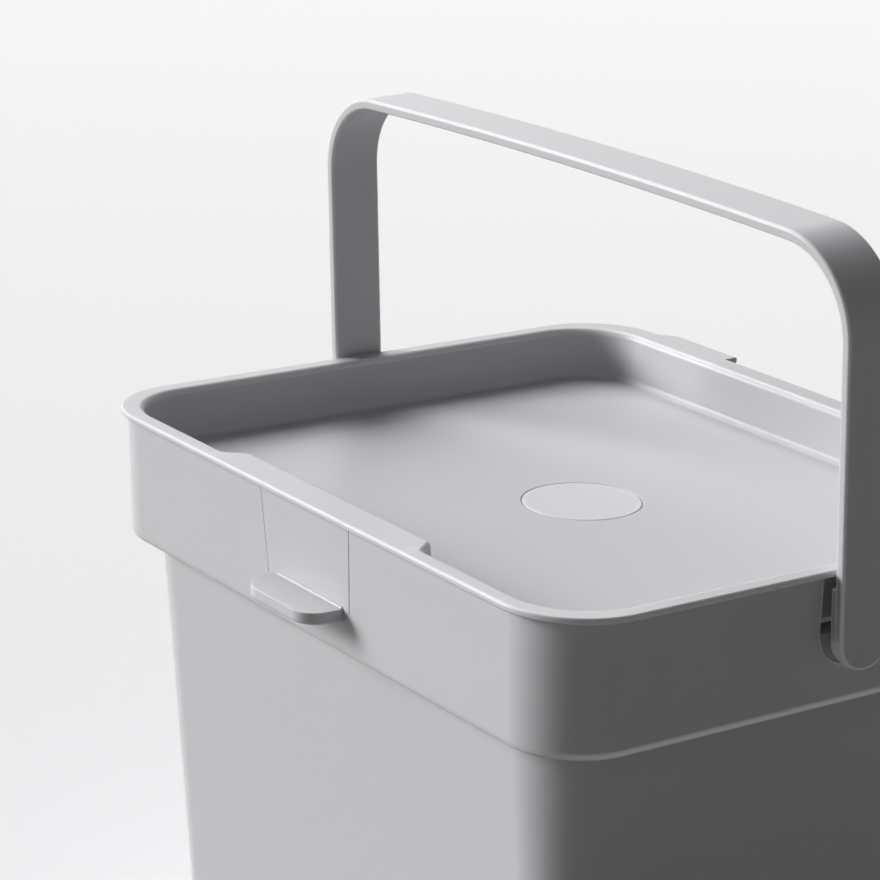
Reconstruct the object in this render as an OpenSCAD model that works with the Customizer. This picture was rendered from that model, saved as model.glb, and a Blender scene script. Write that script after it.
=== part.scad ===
// Lidded carry bin: tapered bucket, drop-over collar, hinged tray lid with a
// sprung front latch, and a flat bail handle. The underside's centre is the
// origin, the latch tab points to -Y and the handle's pins lie along X.

/* [Rim] */
// Width across the lid flange, side to side
rim_w = 300; // [270:1:340]
// Depth across the lid flange, front to back
rim_d = 246; // [220:1:290]
// Height of the lid's top face above the floor
rim_h = 260; // [200:1:340]
// Plan corner radius of the lid flange
rim_r = 31; // [27:0.5:38]
// How far the flange stands out past the collar
lip_over = 2.7; // [1.5:0.1:4]

/* [Lid] */
// Thickness of the flange
flange_t = 2.2; // [1.6:0.1:3]
// Extra width of the flange along the rear edge
flange_back = 3; // [0:0.5:5]
// Depth of the tray below the rim
tray_depth = 19.7; // [15:0.1:26]
// Thickness of the tray's walls and floor
tray_wall = 2.2; // [1.6:0.1:3]
// Plan corner radius of the tray
tray_r = 26; // [20:0.5:28]
// How far the tray's walls lean in towards the floor
tray_lean = 1.5; // [0:0.1:3]
// Fillet between the tray's walls and floor
tray_fillet = 3; // [1:0.1:5]
// Rounding from the flange down into the tray
mouth_round = 2.5; // [0.5:0.1:4]
// Clearance between the tray and the collar's skirt
lid_gap = 0.7; // [0.4:0.1:1.5]
// Width of the latch housing in the front wall
housing_w = 112; // [80:1:150]
// How far the latch housing stands into the tray
housing_in = 7.75; // [6.5:0.25:10]
// Length of the curve at each end of the housing
housing_curve = 9; // [5:0.5:15]

/* [Disc] */
// Radius of the round inlay
disc_r = 22; // [12:0.5:40]
// Thickness of the inlay
disc_t = 1.1; // [0.8:0.1:1.4]
// Groove left open round the inlay
disc_gap = 0.4; // [0.2:0.1:1]
// Radius of the inlay's locating stud
disc_stud_r = 3; // [2:0.5:6]

/* [Seal] */
// Width of the seal
seal_w = 3.4; // [2:0.1:4]
// Depth of the seal below the tray's underside
seal_h = 2.1; // [1.5:0.1:4]
// Clearance between the closed seal and the collar's shelf
seal_gap = 0.3; // [0.2:0.1:0.6]
// Thickness of the two ribs that hold the seal
seal_rib = 0.9; // [0.6:0.1:1.5]

/* [Collar] */
// Depth of the collar's lower edge below the rim
collar_drop = 49; // [44:0.5:70]
// Thickness of the skirt
collar_wall = 2.4; // [1.8:0.1:3.2]
// How far the skirt leans in at its lower edge
collar_lean = 0.6; // [0:0.1:2]
// Rounding of the skirt's lower edge
collar_round = 1.9; // [0.5:0.1:2.1]
// Shadow gap between the flange and the skirt
seam_gap = 0.6; // [0.4:0.1:1.2]
// Thickness of the inner shelf
shelf_t = 2.2; // [1.6:0.1:3]
// How far the shelf stands in past the locating rim
shelf_lip = 2; // [1:0.1:4]
// Depth of the locating rim below the shelf
locate_h = 9.5; // [5:0.5:14]
// Thickness of the locating rim
locate_t = 2; // [1.4:0.1:3]
// Clearance between the locating rim and the bucket
locate_gap = 0.25; // [0.1:0.05:0.6]

/* [Bucket] */
// How far the bucket steps in below the collar
body_step = 9; // [8.5:0.1:14]
// Plan corner radius of the bucket just below the collar
body_r = 26; // [22:0.5:34]
// Draft of the walls
body_draft = 3.5; // [1:0.1:4.5]
// Wall thickness
body_wall = 2.2; // [1.6:0.1:3]
// Floor thickness
floor_t = 2.5; // [1.8:0.1:4]
// Height of the floor's underside above the ground
foot_h = 3; // [1:0.5:8]
// Width of the foot ring
foot_w = 7; // [4:0.5:8]
// Outer rounding at the base
base_round = 4; // [1:0.5:6]
// Rounding inside at the floor
inner_round = 6; // [2:0.5:6.5]
// How far the bucket's rim stands out
lip_out = 1.4; // [0.8:0.1:1.6]
// Height of the bucket's rim
lip_h = 2.4; // [1.8:0.1:4]
// Reach of the collar's snap hooks under the rim
snap_reach = 1.1; // [0.6:0.1:1.2]
// Thickness of the snap hooks
snap_t = 1.8; // [1.2:0.1:2]
// Width of each snap hook
snap_w = 14; // [8:1:24]
// Clearance round the snap hooks
snap_gap = 0.25; // [0.15:0.05:0.4]
// Height of each hook's lead-in slope
snap_lead = 1.8; // [1:0.1:2.4]

/* [Latch] */
// Half the width of the tongue
tongue_half = 26; // [20:0.5:34]
// Extra width at the top of the tongue's left edge
tongue_flare = 4.6; // [0:0.1:8]
// Width of the slits beside the tongue
slit = 0.5; // [0.3:0.05:0.8]
// Depth of the tab's top face below the rim
tab_drop = 32.8; // [31:0.1:36]
// Width of the tab
tab_w = 45.2; // [30:0.2:50]
// How far the tab stands out
tab_out = 14.2; // [8:0.2:20]
// Thickness of the tab
tab_t = 4.6; // [3.5:0.1:6]
// Plan corner radius of the tab
tab_r = 9; // [5:0.5:12]
// Rounding of the tab's edges
tab_round = 1.2; // [0.4:0.1:1.7]
// Fillet where the tab meets the tongue
tab_root = 1.2; // [0.5:0.1:2]
// Width of the catch
catch_w = 22; // [12:1:40]
// Height of the catch and of the hook
catch_t = 2; // [1.4:0.1:3]
// Reach of the lid's catch
catch_reach = 3; // [2:0.1:4]
// Depth of the lid's catch below the rim
catch_drop = 10; // [7:0.5:12]
// Clearance between the hook and the catch
catch_gap = 0.3; // [0.2:0.05:0.6]

/* [Hinge] */
// Length of each hinge cover
cover_l = 36; // [30:1:44]
// How far a cover stands out behind the flange
cover_out = 5.4; // [5:0.1:8]
// Length of the curve at a cover's outer end
cover_curve = 10; // [5:0.5:14]
// Distance from the rim's corner to that curve
cover_inset = 2; // [0:0.5:10]
// Distance of the hinge axis behind the flange
hinge_out = 1.4; // [1.2:0.1:1.8]
// Depth of the hinge axis below the rim
hinge_drop = 6; // [5.5:0.1:7]
// Radius of the lid's knuckles
knuckle_r = 3; // [2.6:0.1:3.1]
// Radius of the hinge pins
hinge_pin_r = 1.5; // [1:0.1:1.8]
// Length of the collar's lug on each pin
lug_l = 16; // [12:1:20]
// Clearance beside the lug
lug_gap = 0.5; // [0.3:0.1:1]

/* [Handle] */
// Height of the bail's top above the rim
arch_h = 111.7; // [90:0.1:140]
// Width of the band
band_w = 21.7; // [16:0.1:26]
// Thickness of the band
band_t = 3.9; // [3:0.1:6]
// Outer radius of the bail's corners
arch_r = 33; // [26:1:60]
// Rise of the bow in the middle of the bail
arch_bow = 1.9; // [1:0.1:6]
// Rounding of the band's edges
band_round = 1.2; // [0.4:0.1:1.4]
// Forward lean of the standing handle
handle_lean = 2.5; // [0:0.1:6]
// Clearance between the legs and the flange
leg_gap = 0.8; // [0.3:0.1:2]
// Height of the leg's round end above the pin
leg_rise = 4.3; // [0:0.1:5.5]
// Radius of the hub that turns in the slot
hub_r = 6; // [5:0.1:8]
// Clearance below the hub in the slot
slot_gap = 0.4; // [0.3:0.1:1]
// Clearance beside the band in the slot
slot_side = 2.35; // [1:0.05:4]
// Radius of the handle's pins
pin_r = 3; // [2.4:0.1:3.4]
// Running clearance of the pins
pin_gap = 0.05; // [0.02:0.01:0.1]
// Wall behind each pin's seat in its ear
pin_end = 0.6; // [0.4:0.1:1]
// Thickness of the ears that hold the pins
ear_t = 3; // [2.8:0.1:3.1]
// Material over each pin in its ear
ear_wall = 3.6; // [2:0.1:4]
// Clearance round the ears
ear_gap = 0.3; // [0.2:0.05:0.5]
// Depth of the ears below the pins
ear_tail = 13; // [10:0.5:16]
// Depth of the pins' sockets in the legs
socket_l = 7; // [5:0.5:8]

/* [Hidden] */
$fn = 96;
eps = 0.01;

shell_grey = [0.80, 0.80, 0.79];
disc_grey = [0.86, 0.86, 0.86];
seal_grey = [0.62, 0.62, 0.61];
steel = [0.72, 0.73, 0.74];

// Corner centres of the rim, shared by the flange and the skirt
rim_cx = rim_w / 2 - rim_r;
rim_cy = rim_d / 2 - rim_r;
bead = 3;
bead_top = 0.8;
bead_low = 0.5;

// Skirt
skirt_r = rim_r - lip_over;
skirt_top = flange_t + seam_gap;
skirt_in_x = rim_cx + skirt_r - collar_wall;
skirt_in_y = rim_cy + skirt_r - collar_wall;
lean_per_mm = collar_lean / (collar_drop - skirt_top);

// Tray
tray_in = lip_over + collar_wall + lid_gap + tray_wall;
tray_cx = rim_w / 2 - tray_in - tray_r;
tray_cy = rim_d / 2 - tray_in - flange_back / 2 - tray_r;
tray_y = -flange_back / 2;
tray_front = tray_y - tray_cy - tray_r;
web = mouth_round + 0.8;
plug_low = tray_depth + tray_wall;

// Levels below the rim
seal_low = plug_low + seal_h;
shelf_top = seal_low + seal_gap;
shelf_low = shelf_top + shelf_t;
locate_low = shelf_low + locate_h;

// Bucket: its corner radius grows upwards with the draft
body_top = rim_h - shelf_low;
body_cx = rim_w / 2 - lip_over - body_step - body_r;
body_cy = rim_d / 2 - lip_over - body_step - body_r;
function body_out(z) = body_r + (z - (rim_h - collar_drop)) * tan(body_draft);
function body_in(z) = body_out(z) - body_wall / cos(body_draft);
locate_r = body_in(rim_h - locate_low) - locate_gap;
mouth_r = locate_r - locate_t - shelf_lip;
body_lip = body_out(body_top) + lip_out;

// Seal, held between the lid's two ribs over the shelf's seat
seal_in = mouth_r + 0.7;
seal_play = 0.1;

// Latch: the tongue's foot stays a little narrower than the tab and inside its edges
foot_in = 0.8;
slit_end = tab_drop + foot_in / 2;
foot_end = tab_drop + tab_t - foot_in / 4;
foot_half = tab_w / 2 - foot_in;
hook_play = 1.5;
front_face = rim_cy + skirt_r;
recess_y = tray_front + housing_in - tray_wall;
catch_tip = recess_y - catch_reach;
hook_drop = catch_drop + catch_t + hook_play;
housing_half = housing_w / 2;

// Hinge
hinge_y = rim_d / 2 + hinge_out;
cover_end = rim_cx - cover_inset - cover_curve;
cover_start = cover_end - cover_l;
cover_y = rim_d / 2 + cover_out;
lug_mid = cover_start + cover_l / 2;
lug_r = knuckle_r - 0.3;

// Handle
leg_x = rim_w / 2 + leg_gap + band_t;
pivot_drop = plug_low + ear_gap + ear_wall + pin_r;
leg_end = leg_rise - pivot_drop;
ear_out = skirt_in_x - ear_gap;
ear_in = ear_out - ear_t;
slot_half = band_w / 2 + slot_side;
cheek = 2;
ear_half = slot_half + ear_gap + cheek;
ear_low = pivot_drop + ear_tail;
slot_z = slot_half - (pivot_drop + hub_r + slot_gap);
bow_r = round(5 * (pow(leg_x - arch_r, 2) + pow(arch_bow, 2)) / arch_bow) / 10;
bow_join = 0.1 / bow_r * 180 / PI;
bow_z = arch_h - bow_r;
corner_z = bow_z + sqrt(pow(bow_r - arch_r, 2) - pow(leg_x - arch_r, 2));
corner_a = atan2(corner_z - bow_z, leg_x - arch_r);

// Points along an arc about (x, y), from angle a to angle b
function arc(x, y, r, a, b, n = 6) =
    [for (i = [0:n]) [x + r * cos(a + (b - a) * i / n), y + r * sin(a + (b - a) * i / n)]];

// Points of an S-shaped curve from p to q, level at both ends
function s_curve(p, q, n = 8) =
    [for (i = [0:n]) [p[0] + (q[0] - p[0]) * i / n,
        p[1] + (q[1] - p[1]) * (1 - cos(180 * i / n)) / 2]];

module at_rim() {
    translate([0, 0, rim_h])
        children();
}

module both_sides() {
    children();
    mirror([1, 0, 0])
        children();
}

// Turns a shape drawn in Y and Z so that it is extruded along X
module along_x() {
    rotate([90, 0, 90])
        children();
}

module rounded(w, d, r) {
    square([w, d - 2 * r], center = true);
    square([w - 2 * r, d], center = true);
    for (x = [-1, 1], y = [-1, 1])
        translate([x * (w / 2 - r), y * (d / 2 - r)])
            circle(r);
}

// Takes a wall's profile round a rounded rectangle whose corners are centred
// on (cx, cy). The profile is drawn outwards from those centres.
module ring(cx, cy, profile) {
    for (q = [[1, 1, 0], [-1, 1, 90], [-1, -1, 180], [1, -1, 270]])
        translate([q[0] * cx, q[1] * cy, 0])
            rotate([0, 0, q[2]])
                rotate_extrude(angle = 90)
                    polygon(profile);
    for (s = [0, 180]) {
        rotate([0, 0, s])
            translate([cx, 0, 0])
                rotate([90, 0, 0])
                    linear_extrude(2 * cy, center = true)
                        polygon(profile);
        rotate([0, 0, s + 90])
            translate([cy, 0, 0])
                rotate([90, 0, 0])
                    linear_extrude(2 * cx, center = true)
                        polygon(profile);
    }
}

module core(cx, cy, low, high) {
    translate([-cx, -cy, low])
        cube([2 * cx, 2 * cy, high - low]);
}

module bucket() {
    foot_r = body_out(base_round) - base_round;
    floor_z = foot_h + floor_t;
    corner = floor_z + inner_round;
    lip_z = body_top - lip_h;
    profile = concat(
        [[0, foot_h], [foot_r - foot_w / 4, foot_h]],
        arc(foot_r, base_round, base_round, -90, 0),
        [[body_out(lip_z), lip_z], [body_lip, lip_z], [body_lip, body_top - 0.5],
            [body_lip - 0.5, body_top], [body_in(body_top), body_top]],
        arc(body_in(corner) - inner_round, corner, inner_round, 0, -90),
        [[0, floor_z]]);
    color(shell_grey) {
        ring(body_cx, body_cy, profile);
        core(body_cx, body_cy, foot_h, floor_z);
        linear_extrude(foot_h + floor_t / 4)
            difference() {
                rounded(2 * (body_cx + foot_r), 2 * (body_cy + foot_r), foot_r);
                rounded(2 * (body_cx + foot_r - foot_w), 2 * (body_cy + foot_r - foot_w), foot_r - foot_w);
            }
    }
}

module skirt() {
    low_r = skirt_r - collar_lean;
    profile = concat(
        [[skirt_r - collar_wall, -skirt_top], [low_r - collar_wall, -collar_drop]],
        arc(low_r - collar_round, collar_round - collar_drop, collar_round, -90, 0),
        [[skirt_r, -skirt_top]]);
    ring(rim_cx, rim_cy, profile);
}

module shelf() {
    over = collar_wall / 8;
    edge = 0.3 * locate_t;
    translate([0, 0, -shelf_low])
        linear_extrude(shelf_t)
            difference() {
                rounded(2 * (skirt_in_x + over), 2 * (skirt_in_y + over), skirt_r - collar_wall + over);
                rounded(2 * (body_cx + mouth_r), 2 * (body_cy + mouth_r), mouth_r);
            }
    ring(body_cx, body_cy, [
        [locate_r - locate_t, -shelf_low], [locate_r - locate_t, -locate_low],
        [locate_r - edge, -locate_low], [locate_r, -locate_low + edge], [locate_r, -shelf_low]]);
}

// Ear behind each slot, joined to the skirt on both sides of it
module ear() {
    translate([ear_in, -ear_half, -ear_low])
        cube([ear_t, 2 * ear_half, ear_low - plug_low - ear_gap]);
    for (y = [-ear_half, ear_half - cheek])
        translate([ear_in, y, -ear_low])
            cube([ear_t + collar_wall, cheek, ear_low - shelf_top]);
}

// Blind seat of a handle pin in its ear
module pin_seat() {
    translate([ear_in + pin_end, 0, -pivot_drop])
        rotate([0, 90, 0])
            cylinder(r = pin_r, h = ear_t);
}

module slot_cut() {
    translate([ear_out, 0, 0])
        along_x()
            linear_extrude(2 * collar_wall + lip_over) {
                translate([-slot_half, slot_z])
                    square([2 * slot_half, -slot_z]);
                translate([0, slot_z])
                    circle(slot_half);
            }
}

module snap_hook() {
    under = shelf_low + lip_h + snap_gap;
    face = body_cy + body_lip + snap_gap;
    nose = under + snap_lead / 3;
    tip = nose + snap_lead;
    profile = [[face, -shelf_low], [face, -under], [face - snap_reach, -under],
        [face - snap_reach, -nose], [face - snap_gap, -tip],
        [face + snap_t, -tip], [face + snap_t, -shelf_low]];
    translate([-snap_w / 2, 0, 0])
        along_x()
            linear_extrude(snap_w)
                polygon(profile);
}

// Plan of the tongue's face, in X and Z; grow widens it by the slit
module tongue_face(grow) {
    polygon([
        [-tongue_half - tongue_flare - grow, -skirt_top + 2 * grow], [-tongue_half - grow, -slit_end - grow],
        [-foot_half - grow, -slit_end - grow], [-foot_half - grow, -foot_end - grow],
        [foot_half + grow, -foot_end - grow], [foot_half + grow, -slit_end - grow],
        [tongue_half + grow, -slit_end - grow], [tongue_half + grow, -skirt_top + 2 * grow]]);
}

module front_block(grow) {
    translate([0, -front_face + 2 * collar_wall, 0])
        rotate([90, 0, 0])
            linear_extrude(3 * collar_wall)
                tongue_face(grow);
}

module collar_lug() {
    difference() {
        union() {
            translate([lug_mid - lug_l / 2, front_face - collar_wall / 2, -hinge_drop - lug_r])
                cube([lug_l, hinge_y - front_face + collar_wall / 2, 2 * lug_r]);
            translate([lug_mid - lug_l / 2, hinge_y, -hinge_drop])
                rotate([0, 90, 0])
                    cylinder(r = lug_r, h = lug_l);
        }
        translate([lug_mid - lug_l, hinge_y, -hinge_drop])
            rotate([0, 90, 0])
                cylinder(r = hinge_pin_r, h = 2 * lug_l);
    }
}

module collar() {
    snap_x = tongue_half + tongue_flare + snap_w;
    color(shell_grey)
        at_rim() {
            difference() {
                union() {
                    skirt();
                    shelf();
                    both_sides()
                        ear();
                }
                both_sides() {
                    slot_cut();
                    pin_seat();
                }
                front_block(slit);
            }
            both_sides()
                collar_lug();
            for (x = [-snap_x, snap_x], turn = [0, 180])
                rotate([0, 0, turn])
                    translate([x, 0, 0])
                        snap_hook();
        }
}

module tab() {
    root = front_face - collar_lean;
    face = front_face - lean_per_mm * (tab_drop - skirt_top);
    reach = tab_out + collar_lean + 2 * tab_r;
    profile = concat(
        [[0, -tab_t]],
        arc(tab_r - tab_round, tab_round - tab_t, tab_round, -90, 0, 4),
        arc(tab_r - tab_round, -tab_round, tab_round, 0, 90, 4),
        [[0, 0]]);
    intersection() {
        translate([0, -root - tab_out - collar_lean + reach / 2, -tab_drop]) {
            ring(tab_w / 2 - tab_r, reach / 2 - tab_r, profile);
            core(tab_w / 2 - tab_r, reach / 2 - tab_r, -tab_t, 0);
        }
        union() {
            translate([-tab_w, -face - 2 * tab_out - slit / 2, -tab_drop - 2 * tab_t])
                cube([2 * tab_w, 2 * tab_out, 4 * tab_t]);
            translate([-foot_half, -face - tab_out / 2, -tab_drop - 2 * tab_t])
                cube([2 * foot_half, tab_out / 2 + collar_wall / 2, 4 * tab_t]);
        }
    }
    // Concave fillet along the tab's root
    translate([-tab_w / 2 + tab_r / 2, 0, 0])
        along_x()
            linear_extrude(tab_w - tab_r)
                polygon(concat([[eps - root, -tab_drop - tab_round], [0.5 - root, -tab_drop + tab_root]],
                    arc(-root - tab_root, tab_root - tab_drop, tab_root, 0, -90, 4),
                    [[-root - tab_root, -tab_drop - tab_round]]));
}

module latch_tongue() {
    inner = -front_face + collar_wall + lean_per_mm * hook_drop;
    color(shell_grey)
        at_rim() {
            intersection() {
                skirt();
                front_block(0);
            }
            tab();
            // Hook that reaches towards the lid's catch
            translate([-catch_w / 2, inner - collar_wall / 2, -hook_drop - catch_t])
                cube([catch_w, catch_tip - catch_gap - inner + collar_wall / 2, catch_t]);
        }
}

module flange() {
    hole_r = tray_r + web;
    translate([0, 0, -flange_t])
        linear_extrude(flange_t)
            difference() {
                rounded(rim_w - 2 * bead, rim_d - 2 * bead, rim_r - bead);
                translate([0, tray_y])
                    rounded(2 * (tray_cx + hole_r), 2 * (tray_cy + hole_r), hole_r);
            }
    ring(rim_cx, rim_cy, concat(
        [[rim_r - bead, -flange_t]],
        arc(rim_r - bead_low, bead_low - flange_t, bead_low, -90, 0, 3),
        arc(rim_r - bead_top, -bead_top, bead_top, 0, 90, 4),
        [[rim_r - bead, 0]]));
}

module tray() {
    low_out = tray_r - tray_lean + tray_wall;
    low_in = tray_r - tray_lean;
    profile = concat(
        [[0, -plug_low]],
        arc(low_out - tray_fillet, tray_fillet - plug_low, tray_fillet, -90, 0),
        [[tray_r + tray_wall, -flange_t], [tray_r + web, -flange_t], [tray_r + web, 0]],
        arc(tray_r + mouth_round, -mouth_round, mouth_round, 90, 180),
        arc(low_in - tray_fillet, tray_fillet - tray_depth, tray_fillet, 0, -90),
        [[0, -tray_depth]]);
    translate([0, tray_y, 0]) {
        ring(tray_cx, tray_cy, profile);
        core(tray_cx, tray_cy, -plug_low, -tray_depth);
    }
}

// Plan of the latch housing; shrink draws it smaller by the wall
module housing_plan(shrink, front) {
    half = housing_half - shrink;
    back = tray_front + housing_in - shrink;
    polygon(concat(
        [[-half - housing_curve, front]],
        s_curve([-half - housing_curve, tray_front - shrink], [-half, back]),
        s_curve([half, back], [half + housing_curve, tray_front - shrink]),
        [[half + housing_curve, front]]));
}

module hinge_cover() {
    inside = rim_d / 2 - bead;
    plan = concat(
        [[cover_start, inside], [cover_start, cover_y], [cover_end, cover_y]],
        s_curve([cover_end, cover_y], [cover_end + cover_curve, rim_d / 2]),
        [[cover_end + cover_curve, inside]]);
    skin = cover_out - hinge_out - knuckle_r;
    knuckle_l = (cover_l - lug_l) / 2 - lug_gap;
    translate([0, 0, -flange_t])
        linear_extrude(flange_t)
            polygon(plan);
    translate([cover_start, cover_y - skin, -hinge_drop])
        cube([cover_l, skin, hinge_drop]);
    for (x = [cover_start, cover_end - knuckle_l])
        translate([x, 0, 0]) {
            translate([0, hinge_y - knuckle_r, -hinge_drop])
                cube([knuckle_l, 2 * knuckle_r, hinge_drop - flange_t / 2]);
            translate([0, hinge_y, -hinge_drop])
                rotate([0, 90, 0])
                    cylinder(r = knuckle_r, h = knuckle_l);
        }
}

module seal_ribs() {
    low = -plug_low - seal_h / 2;
    high = tray_wall / 2 - plug_low;
    for (r = [seal_in - seal_rib - seal_play, seal_in + seal_w + seal_play])
        ring(body_cx, body_cy, [[r, low], [r + seal_rib, low], [r + seal_rib, high], [r, high]]);
}

module lid() {
    cut = 0.5;
    color(shell_grey)
        at_rim()
            difference() {
                union() {
                    flange();
                    tray();
                    translate([0, 0, -plug_low])
                        linear_extrude(plug_low)
                            housing_plan(0, tray_front - tray_wall / 2);
                    both_sides()
                        hinge_cover();
                    seal_ribs();
                }
                // Recess behind the latch tongue
                translate([0, 0, -shelf_low])
                    linear_extrude(shelf_low - flange_t)
                        housing_plan(tray_wall, tray_front - 2 * tray_wall - collar_wall);
                translate([0, tray_y, -tray_depth - disc_t])
                    cylinder(r = disc_r + disc_gap, h = disc_t + 1);
                translate([0, tray_y, -plug_low - 1])
                    cylinder(r = disc_stud_r + pin_gap, h = plug_low - tray_depth + 2);
                both_sides()
                    translate([cover_start - 1, hinge_y, -hinge_drop])
                        rotate([0, 90, 0])
                            cylinder(r = hinge_pin_r + pin_gap, h = cover_l + 2);
                both_sides()
                    translate([lug_mid - lug_l / 2 - lug_gap, cut + front_face, -hinge_drop - knuckle_r])
                        cube([lug_l + 2 * lug_gap, hinge_y + knuckle_r - front_face - cut,
                            knuckle_r + hinge_drop - flange_t]);
            }
    color(shell_grey)
        at_rim()
            translate([-catch_w / 2, catch_tip, -catch_drop - catch_t])
                cube([catch_w, catch_reach + tray_wall / 2, catch_t]);
}

module lid_disc() {
    color(disc_grey)
        at_rim()
            translate([0, tray_y, -tray_depth - disc_t]) {
                cylinder(r = disc_r, h = disc_t);
                translate([0, 0, disc_t - tray_wall])
                    cylinder(r = disc_stud_r, h = tray_wall - disc_t / 2);
            }
}

module lid_seal() {
    out = seal_in + seal_w;
    round_r = seal_w / 2;
    color(seal_grey)
        at_rim()
            ring(body_cx, body_cy, concat(
                [[out, -plug_low], [seal_in, -plug_low]],
                arc(seal_in + round_r, round_r - seal_low, round_r, 180, 360, 8)));
}

module hinge_pin() {
    color(steel)
        at_rim()
            translate([cover_start + 0.5, hinge_y, -hinge_drop])
                rotate([0, 90, 0])
                    cylinder(r = hinge_pin_r, h = cover_l - 1);
}

module hinge_pin_left() {
    mirror([1, 0, 0])
        hinge_pin();
}

module hinge_pin_right() {
    hinge_pin();
}

// Section of the band, drawn outwards to r, with rounded edges
function band_section(r) =
    let (h = band_w / 2, e = band_round, i = band_round / 2)
        concat(
            arc(r - e, -h + e, e, -90, 0, 4),
            arc(r - e, h - e, e, 0, 90, 4),
            arc(r - band_t + i, h - i, i, 90, 180, 3),
            arc(r - band_t + i, -h + i, i, 180, 270, 3));

module leg() {
    h = band_w / 2;
    translate([0, 0, leg_end])
        linear_extrude(corner_z - leg_end)
            polygon(band_section(leg_x));
    // Round end
    translate([0, 0, leg_end])
        along_x()
            rotate([0, 0, 180])
                rotate_extrude(angle = 180)
                    polygon(concat(
                        [[0, leg_x - band_t - eps], [h - band_round, leg_x - band_t - eps]],
                        [[h, leg_x - band_t + band_round / 2]],
                        arc(h - band_round, leg_x - band_round, band_round, 0, 90, 4),
                        [[0, leg_x]]));
    translate([ear_out + ear_gap, 0, -pivot_drop])
        rotate([0, 90, 0])
            cylinder(r = hub_r, h = leg_x - band_t / 2 - ear_out - ear_gap);
}

module bail() {
    both_sides() {
        difference() {
            leg();
            translate([ear_out, 0, -pivot_drop])
                rotate([0, 90, 0])
                    cylinder(r = pin_r + pin_gap, h = socket_l + ear_gap);
        }
        translate([leg_x - arch_r, 0, corner_z])
            rotate([90, 0, 0])
                rotate_extrude(angle = corner_a)
                    polygon(band_section(arch_r));
    }
    translate([0, 0, bow_z])
        rotate([90, 0, 0])
            rotate([0, 0, corner_a - bow_join])
                rotate_extrude(angle = 180 - 2 * corner_a + 2 * bow_join, $fn = 4320)
                    polygon(band_section(bow_r));
}

// Turns the handle forward about its pins by the lean
module leaning() {
    translate([0, 0, -pivot_drop])
        rotate([handle_lean, 0, 0])
            translate([0, 0, pivot_drop])
                children();
}

module handle() {
    color(shell_grey)
        at_rim()
            leaning()
                bail();
}

// Pin pressed into its ear, on which the leg turns
module handle_pin() {
    seat = ear_in + pin_end;
    color(steel)
        at_rim()
            translate([seat, 0, -pivot_drop])
                rotate([0, 90, 0])
                    cylinder(r = pin_r, h = ear_out + socket_l - seat);
}

module handle_pin_left() {
    mirror([1, 0, 0])
        handle_pin();
}

module handle_pin_right() {
    handle_pin();
}

bucket();
collar();
latch_tongue();
lid();
lid_disc();
lid_seal();
hinge_pin_left();
hinge_pin_right();
handle();
handle_pin_left();
handle_pin_right();
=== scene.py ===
import math

import bmesh
import bpy
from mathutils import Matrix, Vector


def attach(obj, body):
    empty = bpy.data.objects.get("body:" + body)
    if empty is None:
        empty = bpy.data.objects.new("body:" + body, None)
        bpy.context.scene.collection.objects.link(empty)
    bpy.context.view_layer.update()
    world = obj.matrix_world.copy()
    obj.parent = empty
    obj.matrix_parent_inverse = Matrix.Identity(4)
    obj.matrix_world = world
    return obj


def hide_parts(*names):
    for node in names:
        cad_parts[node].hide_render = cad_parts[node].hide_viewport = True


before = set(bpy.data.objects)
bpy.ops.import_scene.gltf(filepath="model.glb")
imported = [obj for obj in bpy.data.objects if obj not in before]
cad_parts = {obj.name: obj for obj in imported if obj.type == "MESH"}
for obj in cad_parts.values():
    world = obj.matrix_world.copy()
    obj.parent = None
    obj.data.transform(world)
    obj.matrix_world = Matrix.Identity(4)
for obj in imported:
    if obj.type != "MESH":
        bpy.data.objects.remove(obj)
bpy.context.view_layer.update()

# Shapes are given in millimetres, with heights from the lid's rim; place() turns them into metres
# from the floor. A small number that goes straight into an operator or a modifier is in metres.
RIM = 260.0
# Segments of a rounded corner, and the ratio of area to outline below which a face is a rounding's,
# which gets painted edge light
STEPS = 24
NARROW = 0.0004


def place(x, y, z):
    """Metres in the scene for millimetres from the middle of the rim's plane."""
    return Vector((x * 0.001, y * 0.001, (RIM + z) * 0.001))


def arc(x, y, r, start, end, n=6):
    """Points of an arc about (x, y), in degrees."""
    return [(x + r * math.cos(math.radians(start + (end - start) * i / n)),
             y + r * math.sin(math.radians(start + (end - start) * i / n))) for i in range(n + 1)]


def ease(t):
    """Height of an S-shaped curve that is level at 0 and at 1."""
    return (1 - math.cos(math.pi * min(max(t, 0.0), 1.0))) / 2


# ---------------------------------------------------------------- hand tools

def settle():
    """Leave edit mode with nothing selected."""
    if bpy.context.object and bpy.context.object.mode == 'EDIT':
        bpy.ops.object.mode_set(mode='OBJECT')
    bpy.ops.object.select_all(action='DESELECT')


def pick(piece):
    """Leave edit mode with only this piece selected and active."""
    settle()
    piece.select_set(True)
    bpy.context.view_layer.objects.active = piece


def remove(piece):
    """Delete a piece that has done its work."""
    pick(piece)
    bpy.ops.object.delete()


def let_go(mesh):
    """Deselect all of an edited mesh."""
    for group in (mesh.verts, mesh.edges, mesh.faces):
        for part in group:
            part.select_set(False)


def begin(name):
    """Start an empty piece, in edit mode, from a small plane whose corners are deleted."""
    settle()
    bpy.ops.mesh.primitive_plane_add(size=0.002, location=(0, 0, 0))
    piece = bpy.context.object
    piece.name = piece.data.name = name
    bpy.ops.object.mode_set(mode='EDIT')
    bpy.ops.mesh.select_all(action='SELECT')
    bpy.ops.mesh.delete(type='VERT')
    return piece


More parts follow.
